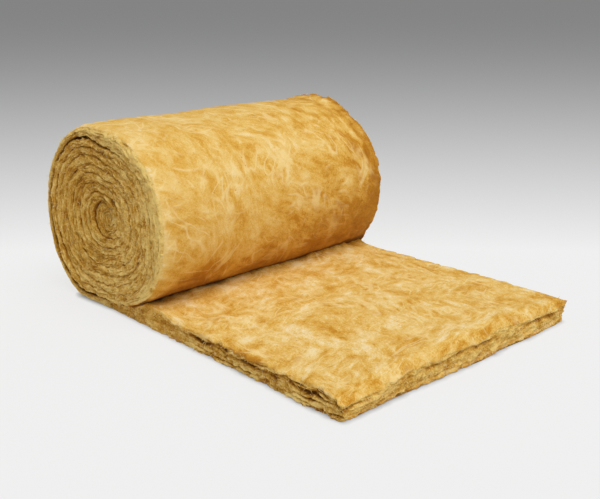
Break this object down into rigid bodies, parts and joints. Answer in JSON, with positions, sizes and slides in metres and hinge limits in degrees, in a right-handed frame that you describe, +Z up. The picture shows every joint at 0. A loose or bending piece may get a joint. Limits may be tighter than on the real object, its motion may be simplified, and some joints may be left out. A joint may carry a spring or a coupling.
{
  "type": "glass wool insulation roll",
  "caption": "Glass-wool insulation blanket wound into a settled oval roll, with its free end laid out flat and lofted on the floor in front of it.",
  "frame": {"origin": "on the floor, at the middle of the footprint of the roll and its laid-out end", "axes": "+X from the roll towards the cut end of the laid-out blanket, +Y along the roll's axis, +Z up"},
  "size_m": [0.858, 0.6, 0.3584],
  "materials": {
    "glass_wool": "matt, fibrous golden-yellow glass wool, straw-coloured on its cut edges"
  },
  "bodies": {
    "root": {"wool_blanket": "glass_wool"}
  },
  "joints": []
}
